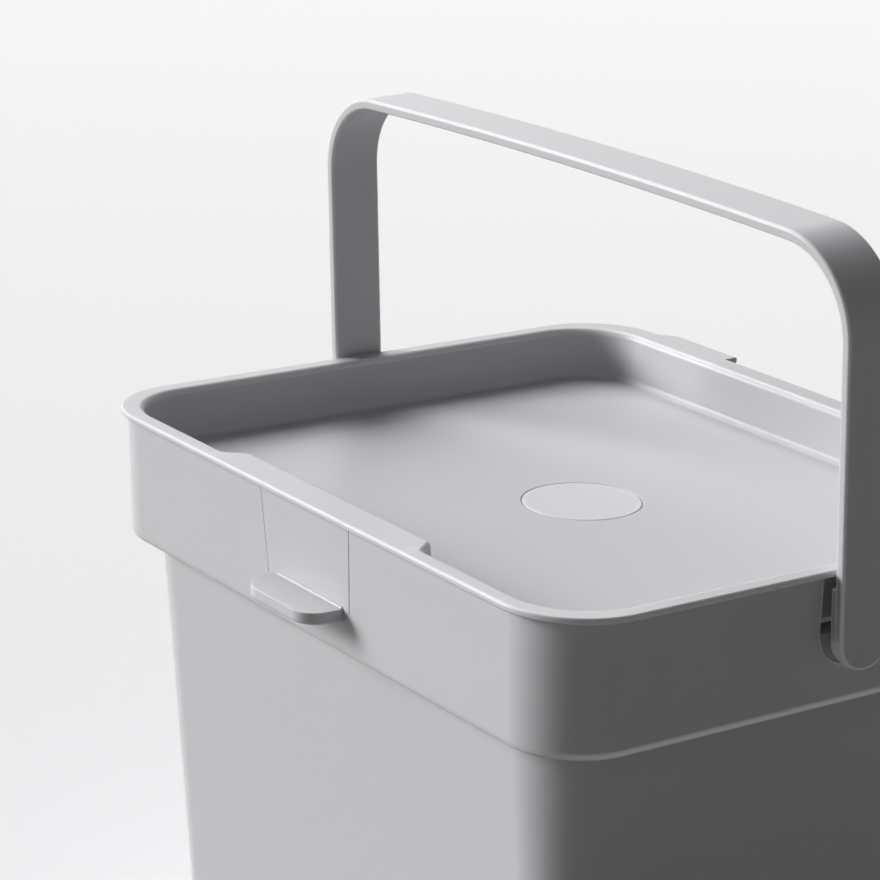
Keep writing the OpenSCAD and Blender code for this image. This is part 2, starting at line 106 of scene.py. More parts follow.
def choose(test, kind='VERT'):
    """Select the vertices, edges or faces of the piece being edited that pass the test."""
    bpy.ops.mesh.select_mode(type=kind)
    mesh = bmesh.from_edit_mesh(bpy.context.object.data)
    let_go(mesh)
    parts = {'VERT': mesh.verts, 'EDGE': mesh.edges, 'FACE': mesh.faces}[kind]
    found = [part for part in parts if test(part)]
    for part in found:
        part.select_set(True)
    mesh.select_flush_mode()
    bmesh.update_edit_mesh(bpy.context.object.data)
    return len(found)


def mm(point):
    """A vertex's place in millimetres, its height from the rim."""
    return point.co.x * 1000, point.co.y * 1000, point.co.z * 1000 - RIM


def outline(label, half_x, half_y, radius, z, y=0.0):
    """Add one rounded-rectangle loop: a plane with its corners bevelled and its face removed."""
    centre = place(0, y, z)
    bpy.ops.mesh.select_mode(type='VERT')
    bpy.ops.mesh.select_all(action='DESELECT')
    bpy.ops.mesh.primitive_plane_add(size=0.002, location=centre)
    bpy.ops.transform.resize(value=(half_x, half_y, 1), center_override=centre)
    bpy.ops.mesh.bevel(offset=radius * 0.001, segments=STEPS, affect='VERTICES', profile=0.5)
    bpy.ops.mesh.delete(type='ONLY_FACE')
    mesh = bmesh.from_edit_mesh(bpy.context.object.data)
    rows = mesh.verts.layers.int.get("row") or mesh.verts.layers.int.new("row")
    for vert in mesh.verts:
        if vert[rows] == 0:
            vert[rows] = label
    bmesh.update_edit_mesh(bpy.context.object.data)


def choose_rows(*labels):
    """Select the edges that lie within one of the labelled loops."""
    bpy.ops.mesh.select_mode(type='EDGE')
    mesh = bmesh.from_edit_mesh(bpy.context.object.data)
    rows = mesh.verts.layers.int["row"]
    let_go(mesh)
    for edge in mesh.edges:
        ends = {vert[rows] for vert in edge.verts}
        if len(ends) == 1 and ends <= set(labels):
            edge.select_set(True)
    bmesh.update_edit_mesh(bpy.context.object.data)


def apart(rows):
    """Keep neighbouring loops out of one plane, where a bridge can twist."""
    spread = [rows[0]]
    for row in rows[1:]:
        before = spread[-1][3]
        z = before + 0.03 if abs(row[3] - before) < 0.03 else row[3]
        spread.append((*row[:3], z, *row[4:]))
    return spread


def loft(rows, first=1, closed=False, caps=(True, True)):
    """Bridge rounded-rectangle loops one after the other.

    Each row is (corner centre x, corner centre y, corner radius, height) and may add
    the loop's offset in Y.
    """
    for label, row in enumerate(apart(rows), first):
        cx, cy, r, z = row[:4]
        outline(label, cx + r, cy + r, r, z, row[4] if len(row) > 4 else 0.0)
    last = first + len(rows) - 1
    pairs = [(label, label + 1) for label in range(first, last)]
    if closed:
        pairs.append((last, first))
    for pair in pairs:
        choose_rows(*pair)
        bpy.ops.mesh.bridge_edge_loops()
    if not closed:
        for label, cap in zip((first, last), caps):
            if cap:
                choose_rows(label)
                bpy.ops.mesh.edge_face_add()


def draw(points):
    """Draw a line by extruding one vertex from each point to the next."""
    bpy.ops.mesh.select_mode(type='VERT')
    bpy.ops.mesh.select_all(action='DESELECT')
    bpy.ops.mesh.primitive_plane_add(size=0.0001, location=points[0])
    bpy.ops.mesh.merge(type='CENTER')
    for start, end in zip(points, points[1:]):
        bpy.ops.mesh.extrude_vertices_move(TRANSFORM_OT_translate={"value": end - start})


def slab(name, points, push):
    """Fill a drawn outline and extrude it by the push, both in millimetres."""
    piece = begin(name)
    draw([place(*point) for point in points])
    bpy.ops.mesh.select_all(action='SELECT')
    bpy.ops.mesh.edge_face_add()
    bpy.ops.mesh.extrude_region_move(
        TRANSFORM_OT_translate={"value": Vector(push) * 0.001})
    tidy_normals()
    return piece


def tidy_normals():
    """Merge doubled points and turn all faces outward."""
    bpy.ops.mesh.select_mode(type='VERT')
    bpy.ops.mesh.select_all(action='SELECT')
    bpy.ops.mesh.remove_doubles(threshold=0.000002)
    bpy.ops.mesh.select_all(action='SELECT')
    bpy.ops.mesh.normals_make_consistent(inside=False)


def block(name, low, high):
    """A cube brought to its size and place between two corners."""
    settle()
    a, b = place(*low), place(*high)
    bpy.ops.mesh.primitive_cube_add(size=1, location=(0, 0, 0))
    piece = bpy.context.object
    piece.name = piece.data.name = name
    bpy.ops.object.mode_set(mode='EDIT')
    bpy.ops.mesh.select_all(action='SELECT')
    bpy.ops.transform.resize(value=b - a, center_override=(0, 0, 0))
    bpy.ops.transform.translate(value=(a + b) / 2)
    return piece


def barrel(name, r, start, length, y, z, sides=48):
    """A cylinder along X from the start, in edit mode."""
    settle()
    bpy.ops.mesh.primitive_cylinder_add(
        vertices=sides, radius=r * 0.001, depth=length * 0.001, location=(0, 0, 0))
    piece = bpy.context.object
    piece.name = piece.data.name = name
    bpy.ops.object.mode_set(mode='EDIT')
    bpy.ops.mesh.select_all(action='SELECT')
    bpy.ops.transform.rotate(value=math.pi / 2, orient_axis='Y', center_override=(0, 0, 0))
    bpy.ops.transform.translate(value=place(start + length / 2, y, z))
    return piece


def bevel_where(test, width, segments=3):
    """Round the edges that pass the test, if there are any."""
    if choose(test, 'EDGE'):
        bpy.ops.mesh.bevel(offset=width * 0.001, segments=segments, affect='EDGES', profile=0.5)


def sharp(edge, degrees=40):
    """Whether an edge's two faces meet at more than this angle."""
    return len(edge.link_faces) == 2 and edge.calc_face_angle(0.0) > math.radians(degrees)


def combine(piece, tool, operation):
    """Cut or join with a Boolean, then remove the tool."""
    pick(piece)
    change = piece.modifiers.new("combine", 'BOOLEAN')
    change.operation = operation
    change.solver = 'EXACT'
    change.object = tool
    bpy.ops.object.modifier_apply(modifier="combine")
    remove(tool)


def join(piece, *others):
    """Make the others part of the first piece."""
    settle()
    for other in others:
        other.select_set(True)
    piece.select_set(True)
    bpy.context.view_layer.objects.active = piece
    bpy.ops.object.join()


def copy_of(piece, name):
    """A second piece with a mesh of its own."""
    pick(piece)
    bpy.ops.object.duplicate(linked=False)
    twin = bpy.context.object
    twin.name = twin.data.name = name
    return twin


def mirror_in_x(piece):
    """Turn a piece into its mirror image across the middle, in its mesh."""
    edit(piece)
    bpy.ops.mesh.select_all(action='SELECT')
    bpy.ops.transform.resize(value=(-1, 1, 1), center_override=(0, 0, 0))
    tidy_normals()
    settle()
    return piece


def mirrored(piece, name):
    """A copy of a piece on the other side of the middle."""
    return mirror_in_x(copy_of(piece, name))


def edit(piece):
    """Enter edit mode on this piece alone."""
    pick(piece)
    bpy.ops.object.mode_set(mode='EDIT')


def smooth(piece, angle=32, painted_glow=None):
    """Shade by angle, let the large faces keep their own direction and mark the narrow roundings for
    painted edge light.
    """
    pick(piece)
    bpy.ops.object.shade_smooth_by_angle(angle=math.radians(angle))
    weigh = piece.modifiers.new("weigh", 'WEIGHTED_NORMAL')
    weigh.keep_sharp = True
    weigh.weight = 60
    bpy.ops.object.modifier_apply(modifier="weigh")
    settle()
    # Without a given share every narrow rounded edge gets the full painted edge light
    mark_roundings(piece, painted_glow or (lambda point, normal: 1.0))


def mark_roundings(piece, painted_glow):
    """Store at each corner how much painted light a narrow rounded edge gets as emission, 0 on other
    faces.
    """
    mesh = bmesh.new()
    mesh.from_mesh(piece.data)
    marks = []
    for face in mesh.faces:
        narrow = face.calc_area() / face.calc_perimeter() < NARROW
        turns = any(edge.is_manifold and edge.calc_face_angle_signed() > math.radians(3)
                    for edge in face.edges)
        for corner in face.loops:
            marks.append(painted_glow(mm(corner.vert), face.normal) if narrow and turns else 0.0)
    mesh.free()
    layer = piece.data.attributes.new("rounding", 'FLOAT', 'CORNER')
    layer.data.foreach_set("value", marks)


# ------------------------------------------------------------ shared effects

def new_group(name, inputs, outputs):
    """An empty effect with its sockets and its two end nodes."""
    group = bpy.data.node_groups.new(name, 'ShaderNodeTree')
    for label, kind, value in inputs:
        socket = group.interface.new_socket(name=label, in_out='INPUT', socket_type=kind)
        if value is not None:
            socket.default_value = value
    for label, kind in outputs:
        group.interface.new_socket(name=label, in_out='OUTPUT', socket_type=kind)
    return group, group.nodes.new('NodeGroupInput'), group.nodes.new('NodeGroupOutput')


def noise(group, vector, scale, detail, rough=0.5):
    """A noise texture whose scale is a number or a link."""
    node = group.nodes.new('ShaderNodeTexNoise')
    node.inputs['Detail'].default_value = detail
    node.inputs['Roughness'].default_value = rough
    group.links.new(vector, node.inputs['Vector'])
    if isinstance(scale, (int, float)):
        node.inputs['Scale'].default_value = scale
    else:
        group.links.new(scale, node.inputs['Scale'])
    return node.outputs['Fac']


def math_node(group, operation, a, b=None, clamp=False):
    """One sum on numbers or links."""
    node = group.nodes.new('ShaderNodeMath')
    node.operation = operation
    node.use_clamp = clamp
    for index, value in enumerate((a, b)):
        if value is None:
            continue
        if isinstance(value, (int, float)):
            node.inputs[index].default_value = value
        else:
            group.links.new(value, node.inputs[index])
    return node.outputs[0]


def span(group, value, low, high, out_low=0.0, out_high=1.0):
    """A value mapped from one range, of numbers or links, to another."""
    node = group.nodes.new('ShaderNodeMapRange')
    group.links.new(value, node.inputs['Value'])
    for label, number in (('From Min', low), ('From Max', high),
                          ('To Min', out_low), ('To Max', out_high)):
        if isinstance(number, (int, float)):
            node.inputs[label].default_value = number
        else:
            group.links.new(number, node.inputs[label])
    return node.outputs['Result']


def make_moulded_grain():
    """Fine spark-eroded grain of a moulding tool: a height and a roughness."""
    group, given, result = new_group(
        "moulded_grain",
        [("Vector", 'NodeSocketVector', None), ("Scale", 'NodeSocketFloat', 2600.0),
         ("Roughness", 'NodeSocketFloat', 0.5), ("Variation", 'NodeSocketFloat', 0.05)],
        [("Height", 'NodeSocketFloat'), ("Roughness", 'NodeSocketFloat')])
    place_in = given.outputs['Vector']
    fine = noise(group, place_in, given.outputs['Scale'], 2.0)
    coarse = noise(group, place_in, 420.0, 3.0)
    height = math_node(group, 'ADD', math_node(group, 'MULTIPLY', fine, 0.75),
                       math_node(group, 'MULTIPLY', coarse, 0.25))
    patches = noise(group, place_in, 22.0, 4.0, 0.6)
    swing = math_node(group, 'MULTIPLY', math_node(group, 'SUBTRACT', patches, 0.5),
                      given.outputs['Variation'])
    rough = math_node(group, 'ADD', given.outputs['Roughness'], swing)
    group.links.new(height, result.inputs['Height'])
    group.links.new(rough, result.inputs['Roughness'])
    return group


def make_flow_tone():
    """Faint cloudy tone that the pigment leaves in a large moulding."""
    group, given, result = new_group(
        "flow_tone",
        [("Vector", 'NodeSocketVector', None), ("Color", 'NodeSocketColor', (0.6, 0.6, 0.6, 1)),
         ("Amount", 'NodeSocketFloat', 0.02)],
        [("Color", 'NodeSocketColor')])
    cloud = noise(group, given.outputs['Vector'], 9.0, 3.0, 0.55)
    gain = math_node(group, 'ADD', 1.0, math_node(
        group, 'MULTIPLY', math_node(group, 'SUBTRACT', cloud, 0.5), given.outputs['Amount']))
    tint = group.nodes.new('ShaderNodeVectorMath')
    tint.operation = 'SCALE'
    group.links.new(given.outputs['Color'], tint.inputs[0])
    group.links.new(gain, tint.inputs['Scale'])
    group.links.new(tint.outputs['Vector'], result.inputs['Color'])
    return group


def make_hairline():
    """Fine straight scratches along one axis, as a mask for drawn steel."""
    group, given, result = new_group(
        "hairline",
        [("Vector", 'NodeSocketVector', None), ("Stretch", 'NodeSocketVector', (40.0, 900.0, 900.0)),
         ("Amount", 'NodeSocketFloat', 0.2)],
        [("Mask", 'NodeSocketFloat')])
    scale = group.nodes.new('ShaderNodeVectorMath')
    scale.operation = 'MULTIPLY'
    group.links.new(given.outputs['Vector'], scale.inputs[0])
    group.links.new(given.outputs['Stretch'], scale.inputs[1])
    lines = span(group, noise(group, scale.outputs['Vector'], 1.0, 2.0), 0.45, 0.8)
    group.links.new(math_node(group, 'MULTIPLY', lines, given.outputs['Amount'], clamp=True),
                    result.inputs['Mask'])
    return group


GRAIN = make_moulded_grain()
TONE = make_flow_tone()
HAIRLINE = make_hairline()


def use(tree, group, vector, **values):
    """Place an effect in a material with its values."""
    node = tree.nodes.new('ShaderNodeGroup')
    node.node_tree = group
    tree.links.new(vector, node.inputs['Vector'])
    for label, value in values.items():
        node.inputs[label.replace("_", " ")].default_value = value
    return node


def shaded(name):
    """A new material with its tree, its shader and the object's own coordinates."""
    material = bpy.data.materials.new(name)
    material.use_nodes = True
    tree = material.node_tree
    shader = tree.nodes["Principled BSDF"]
    where = tree.nodes.new('ShaderNodeTexCoord')
    return material, tree, shader, where.outputs['Object']


def mix_colour(tree, mask, a, b):
    """Two colours or links mixed by a mask."""
    node = tree.nodes.new('ShaderNodeMix')
    node.data_type = 'RGBA'
    tree.links.new(mask, node.inputs['Factor'])
    for socket, value in ((node.inputs[6], a), (node.inputs[7], b)):
        if isinstance(value, tuple):
            socket.default_value = value
        else:
            tree.links.new(value, socket)
    return node.outputs[2]


def moulded(name, colour, rough, bump=0.05, tone=0.02, grain=2600.0, coat=0.18, painted_glow=0.1):
    """A moulded plastic finish: fine grain, cloudy tone, and painted light on narrow rounded edges, an
    emission that brightens them.
    """
    material, tree, shader, where = shaded(name)
    tone_node = use(tree, TONE, where, Color=(*colour, 1), Amount=tone)
    tree.links.new(tone_node.outputs['Color'], shader.inputs['Base Color'])
    grain_node = use(tree, GRAIN, where, Scale=grain, Roughness=rough, Variation=0.08)
    tree.links.new(grain_node.outputs['Roughness'], shader.inputs['Roughness'])
    bump_node = tree.nodes.new('ShaderNodeBump')
    bump_node.inputs['Strength'].default_value = bump
    bump_node.inputs['Distance'].default_value = 0.0002
    tree.links.new(grain_node.outputs['Height'], bump_node.inputs['Height'])
    tree.links.new(bump_node.outputs['Normal'], shader.inputs['Normal'])
    # Painted highlight: the marked narrow rounded edges emit a pale grey, brightening them beyond what
    # the lamps give
    rounding = tree.nodes.new('ShaderNodeAttribute')
    rounding.attribute_name = "rounding"
    light = (painted_glow, painted_glow, painted_glow * 1.03, 1)
    tree.links.new(mix_colour(tree, rounding.outputs['Fac'], (0, 0, 0, 1), light),
                   shader.inputs['Emission Color'])
    shader.inputs['Emission Strength'].default_value = 1.0
    shader.inputs['Coat Weight'].default_value = coat
    shader.inputs['Coat Roughness'].default_value = 0.2
    shader.inputs['Specular IOR Level'].default_value = 0.32
    return material


SHELL = moulded("pale_grey_shell", (0.560, 0.556, 0.574), 0.52)
INLAY = moulded("pale_inlay", (0.655, 0.655, 0.68), 0.5, tone=0.015, painted_glow=0.03)
GASKET = moulded("soft_gasket", (0.30, 0.30, 0.295), 0.78,
                 bump=0.12, tone=0.05, grain=1500.0, coat=0.0, painted_glow=0.0)


def make_pin_steel():
    """Drawn steel with fine lines, for the four pins."""
    material, tree, shader, where = shaded("drawn_pin_steel")
    lines = use(tree, HAIRLINE, where, Amount=0.6)
    steel = mix_colour(tree, lines.outputs['Mask'], (0.62, 0.63, 0.64, 1), (0.42, 0.42, 0.43, 1))
    tree.links.new(steel, shader.inputs['Base Color'])
    tree.links.new(span(tree, lines.outputs['Mask'], 0.0, 1.0, 0.28, 0.5), shader.inputs['Roughness'])
    shader.inputs['Metallic'].default_value = 1.0
    return material


PIN_STEEL = make_pin_steel()


def finish(piece, material, body, slot, *nodes):
    """Give a piece its material and its body, and hide the CAD nodes that it stands for."""
    piece.data.materials.clear()
    piece.data.materials.append(material)
    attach(piece, body)
    if nodes:
        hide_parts(*nodes)


# -------------------------------------------------------------------- bucket

# Corner centres of the body, its corner radius at the collar's foot, its taper and its wall
BODY_X, BODY_Y = 109.8, 82.8
BODY_R, BODY_TOP, BODY_WALL = 28, -49, 2.2
DRAFT = math.radians(4.4)


def body_out(z):
    """Corner radius of the body's outer face at a height."""
    return BODY_R + (z - BODY_TOP) * math.tan(DRAFT)


def body_in(z):
    """The same for its inner face."""
    return body_out(z) - BODY_WALL / math.cos(DRAFT)


def make_bucket():
    """Tapered shell, from the hollow under its floor round the outside to the floor within."""
    round_r, inner_r, floor, top = 4, 6, 5.5, -26.5
    foot = body_out(round_r - RIM) - round_r
    profile = [(foot - 6, 3), (foot - 6, 0.6), (foot - 5.8, 0.15), (foot - 5.4, 0)]
    profile += arc(foot, round_r, round_r, -90, 0, 8)
    profile = [(r, z - RIM) for r, z in profile]
    profile += [(body_out(z), z) for z in (-200, -140, -90, -60, BODY_TOP)]
    lip = body_out(top) + 1.4
    profile += [(body_out(top - 2.4), top - 2.4), (lip - 0.3, top - 2.4), (lip, top - 2.1)]
    profile += arc(lip - 0.7, top - 0.7, 0.7, 0, 90, 4)
    profile += arc(body_in(top) + 0.6, top - 0.6, 0.6, 90, 180, 4)
    profile += [(body_in(z), z) for z in (-60, -120, -180)]
    corner = floor + inner_r - RIM
    profile += arc(body_in(corner) - inner_r, corner, inner_r, 0, -90, 8)
    piece = begin("bucket_shell")
    loft([(BODY_X, BODY_Y, r, z) for r, z in profile])
    tidy_normals()
    smooth(piece)
    return piece


# -------------------------------------------------------------------- collar

# Corner centres of the rim, and the skirt's corner radius, heights, wall, draw-in at its foot and
# lower rounding (its depth and height) with the small one of its other edges; side slots, front face,
# hinge axis and foot of the tongue
RIM_X, RIM_Y = 119.0, 92.0
SKIRT_R, SKIRT_TOP, SKIRT_LOW, SKIRT_WALL, SKIRT_LEAN = 28.3, -2.8, -50.0, 2.4, 1.3
ROUND_IN, ROUND_UP, SMALL_R = 1.9, 3.2, 0.35
SLOT_HALF, SLOT_Z = 13.2, -22.0
FACE = RIM_Y + SKIRT_R
HINGE_Y, HINGE_Z = 124.4, -6
LATCH_FOOT = -38.5


def skirt_out(z):
    """Corner radius of the skirt's outer face at a height."""
    return SKIRT_R - SKIRT_LEAN * (SKIRT_TOP - z) / (SKIRT_TOP - SKIRT_LOW)


def skirt_rim():
    """The small rounding from the skirt's top to its outer face."""
    return arc(SKIRT_R - SMALL_R, SKIRT_TOP - SMALL_R, SMALL_R, 90, 0, 3)


def skirt_profile():
    """Outer face, rounded lower edge and inner face of the skirt, from the top."""
    low = skirt_out(SKIRT_LOW)
    inner = arc(low - SKIRT_WALL + SMALL_R, SKIRT_LOW + SMALL_R, SMALL_R, -90, -180, 2)
    return (skirt_rim() + [(skirt_out(z), z) for z in (-14, -26, -38)]
            + [(low - ROUND_IN + r, SKIRT_LOW + ROUND_UP + z * ROUND_UP / ROUND_IN)
               for r, z in arc(0, 0, ROUND_IN, 0, -90, 10)]
            + inner)


def skirt_painted_light(point, normal):
    """Painted light: on the skirt's ends a soft band along the lower rounding is brightened by
    emission, and the slots' rims less.
    """
    x, y, z = point
    start, height, slot_share = 0.2, 2.9, 0.4
    reach = math.hypot(max(abs(x) - RIM_X, 0), max(abs(y) - RIM_Y, 0))
    if reach < SKIRT_R - SKIRT_WALL + 0.1:
        return 0.0
    level = normal.x ** 2 / max(normal.x ** 2 + normal.y ** 2, 0.0001)
    band = (z - SKIRT_LOW - start) / height
    if band > 1.01:
        return slot_share * level
    return 4 * band * (1 - band) * level if 0 < band < 1 else 0.0


def tongue_outline(grow, drop, y):
    """The tongue's face between its slits, wider at the top left and narrowed at its foot."""
    top, step, foot = SKIRT_TOP + 2 * grow + 0.001, -33.2 - drop, -37.2 - drop
    wide_left, wide, narrow = 30.6 + grow, 26 + grow, 21.8 + grow
    return [(-wide_left, y, top), (-wide, y, step), (-narrow, y, step), (-narrow, y, foot),
            (narrow, y, foot), (narrow, y, step), (wide, y, step), (wide, y, top)]


def make_slot_cutter():
    """A block, round below, that cuts the slot for the handle's right leg."""
    piece = block("slot_cutter", (144.65, -SLOT_HALF, SLOT_Z - SLOT_HALF), (152, SLOT_HALF, 3))
    bevel_where(lambda e: all(mm(v)[2] < SLOT_Z for v in e.verts)
                and abs(e.verts[0].co.x - e.verts[1].co.x) > 0.001, SLOT_HALF * 0.998, 32)
    tidy_normals()
    return piece


def make_ear(side):
    """The ear that holds the pin behind the slot, tied to the skirt, with the hinge lug of its side."""
    low, top, cheek_top, half = -41.8, -25.2, -25.0, 15.5
    ear = block("ear", (141.6, -half, low), (144.6, half, top))
    bevel_where(sharp, 0.4, 2)
    cheeks = []
    for y in (-half, half - 2):
        cheeks.append(block("cheek", (141.6, y, low), (145.4, y + 2, cheek_top)))
        bevel_where(sharp, 0.3, 2)
    lug = block("hinge_lug", (81, 119, HINGE_Z - 2.7), (97, HINGE_Y, HINGE_Z + 2.7))
    tidy_normals()
    knuckle = barrel("lug_end", 2.7, 81, 16, HINGE_Y, HINGE_Z)
    bevel_where(sharp, 0.3, 2)
    tidy_normals()
    join(lug, knuckle)
    join(ear, lug, *cheeks)
    return ear if side > 0 else mirror_in_x(ear)


def make_snap_hook(x, turn):
    """A hook inside the front or rear wall that snaps under the bucket's lip."""
    hook = slab("snap_hook", [(x, turn * y, z) for y, z in (
        (114.3, -26.3), (114.3, -29.15), (113.2, -29.15), (113.2, -29.8), (114.0, -31.6),
        (116.1, -31.6), (116.1, -26.3))], (14, 0, 0))
    bevel_where(sharp, 0.2, 2)
    tidy_normals()
    return hook


def make_collar():
    """Skirt, shelf and locating rim in one closed loft, with the slots and the tongue cut out."""
    shelf_top, shelf_low, locate_low = -24.3, -26.5, -36.0
    locate = body_in(locate_low) - 0.25
    mouth = locate - 4
    rows = [(RIM_X, RIM_Y, r, z) for r, z in skirt_profile()]
    inner = SKIRT_R - SKIRT_WALL
    rows += [(RIM_X, RIM_Y, inner - 0.3, shelf_low - 1), (RIM_X, RIM_Y, inner - 0.9, shelf_low)]
    rows += [(BODY_X, BODY_Y, r, z) for r, z in (
        (locate + 0.5, shelf_low), (locate, shelf_low - 0.5), (locate, locate_low + 0.6),
        (locate - 0.6, locate_low), (locate - 1.7, locate_low), (locate - 2, locate_low + 0.3),
        (locate - 2, shelf_low), (mouth + 0.3, shelf_low), (mouth, shelf_low + 0.3),
        (mouth, shelf_top - 0.3), (mouth + 0.3, shelf_top))]
    rows += [(RIM_X, RIM_Y, inner - 0.8, shelf_top), (RIM_X, RIM_Y, inner - 0.1, shelf_top + 0.7),
             (RIM_X, RIM_Y, inner, SKIRT_TOP - 0.3), (RIM_X, RIM_Y, inner + 0.3, SKIRT_TOP)]
    piece = begin("collar_frame")
    loft(rows, closed=True)
    tidy_normals()
    slot = make_slot_cutter()
    twin = mirrored(slot, "slot_cutter_left")
    combine(piece, slot, 'DIFFERENCE')
    combine(piece, twin, 'DIFFERENCE')
    opening = slab("tongue_opening", tongue_outline(0.5, 0.5, -FACE - 3), (0, 7, 0))
    combine(piece, opening, 'DIFFERENCE')
    # Rounded rims of the side slots and of the tongue's opening
    edit(piece)

    def slot_rim(edge):
        if not sharp(edge):
            return False
        for vert in edge.verts:
            x, y, z = mm(vert)
            if abs(x) < RIM_X + SKIRT_R - 1.5 or abs(y) > SLOT_HALF + 0.05 or z > SKIRT_TOP + 0.1:
                return False
            from_middle = abs(y) if z > SLOT_Z else math.hypot(y, z - SLOT_Z)
            if from_middle <= SLOT_HALF - 0.1:
                return False
        return True

    bevel_where(slot_rim, 0.7, 4)

    def tongue_rim(edge):
        if not sharp(edge):
            return False
        return all(abs(mm(v)[0]) < 32 and mm(v)[1] < -FACE + 0.75
                   and LATCH_FOOT < mm(v)[2] < SKIRT_TOP - 0.2 for v in edge.verts)

    bevel_where(tongue_rim, 0.15, 2)
    parts = [make_ear(-1)]
    parts += [make_snap_hook(x, turn) for x in (37.6, -51.6) for turn in (-1, 1)]
    parts.append(make_ear(1))
    join(piece, *parts)
    # The skirt's ends get painted light along their lower rounding and on the slots' rims
    smooth(piece, 25, skirt_painted_light)
    return piece


# ------------------------------------------------------------- latch and tab

def make_press_latch():
    """The tongue with the skirt's section, and the rounded press tab at its foot."""
    section = [(-(RIM_Y + r), z) for r, z in skirt_rim()
               + [(skirt_out(LATCH_FOOT), LATCH_FOOT), (skirt_out(LATCH_FOOT) - SKIRT_WALL, LATCH_FOOT),
                  (SKIRT_R - SKIRT_WALL, SKIRT_TOP)]]
    tongue = slab("press_latch", [(-40, y, z) for y, z in section], (80, 0, 0))
    face = slab("tongue_face", tongue_outline(0.1, 0.4, -FACE - 3), (0, 8, 0))
    combine(tongue, face, 'INTERSECT')
    edit(tongue)
    bevel_where(lambda e: sharp(e) and all(mm(v)[1] < -FACE + 0.75 for v in e.verts)
                and any(mm(v)[2] < SKIRT_TOP - 0.5 for v in e.verts), 0.15, 2)
    tidy_normals()
    # The tab: a plate rounded in plan, more at its left end, with its lower and upper edges rounded
    front, back, half, left_r, right_r = -134.5, -117.3, 22.6, 12.5, 9.0
    low, thick = -37.4, 4.6
    tab = begin("press_tab")
    plan = ([(-half, back)] + arc(-half + left_r, front + left_r, left_r, 180, 270, 12)
            + arc(half - right_r, front + right_r, right_r, 270, 360, 12) + [(half, back)])
    draw([place(x, y, low) for x, y in plan])
    bpy.ops.mesh.select_all(action='SELECT')
    bpy.ops.mesh.edge_face_add()
    bpy.ops.mesh.extrude_region_move(TRANSFORM_OT_translate={"value": (0, 0, thick * 0.001)})
    tidy_normals()

    def plate_edge(edge, z):
        if not sharp(edge, 50) or all(mm(v)[1] > back - 0.01 for v in edge.verts):
            return False
        return all(mm(v)[1] < back + 0.01 and abs(mm(v)[2] - z) < 0.1 for v in edge.verts)

    bevel_where(lambda e: plate_edge(e, low), 1.3, 5)
    bevel_where(lambda e: plate_edge(e, low + thick), 0.45, 3)
    tidy_normals()
    root = ([(-119.0, -33.5), (-119.0, -32.1)] + arc(-120.5, -32.15, 0.65, 0, -90, 5)
            + [(-120.5, -33.5)])
    fillet = slab("tab_root", [(-half + 2.5, y, z) for y, z in root], (2 * half - 3, 0, 0))
    hook = block("catch_hook", (-11, -118.6, -15.5), (11, -112.8, -13.5))
    bevel_where(sharp, 0.35, 2)
    tidy_normals()
    join(tongue, tab, fillet, hook)
    smooth(tongue, 25, lambda point, normal: 0.0)
    return tongue


# ----------------------------------------------------------------------- lid

# Corner centres of the tray, its middle in Y and its corner radius; half width, ends and depth of
# the latch housing
TRAY_X, TRAY_Y, TRAY_MID, TRAY_R = 116.0, 87.5, -1.6, 26.0
HOUSING_HALF, HOUSING_CURVE, HOUSING_IN = 56.0, 9.0, 7.75
# Hinge covers: inner end, start and tip of the outer end in X, how far they stand out behind, and
# how far they hang down
COVER = (71.0, 107.0, 117.0, 5.4, 3.8)
GASKET_R = body_in(-36) - 3.55


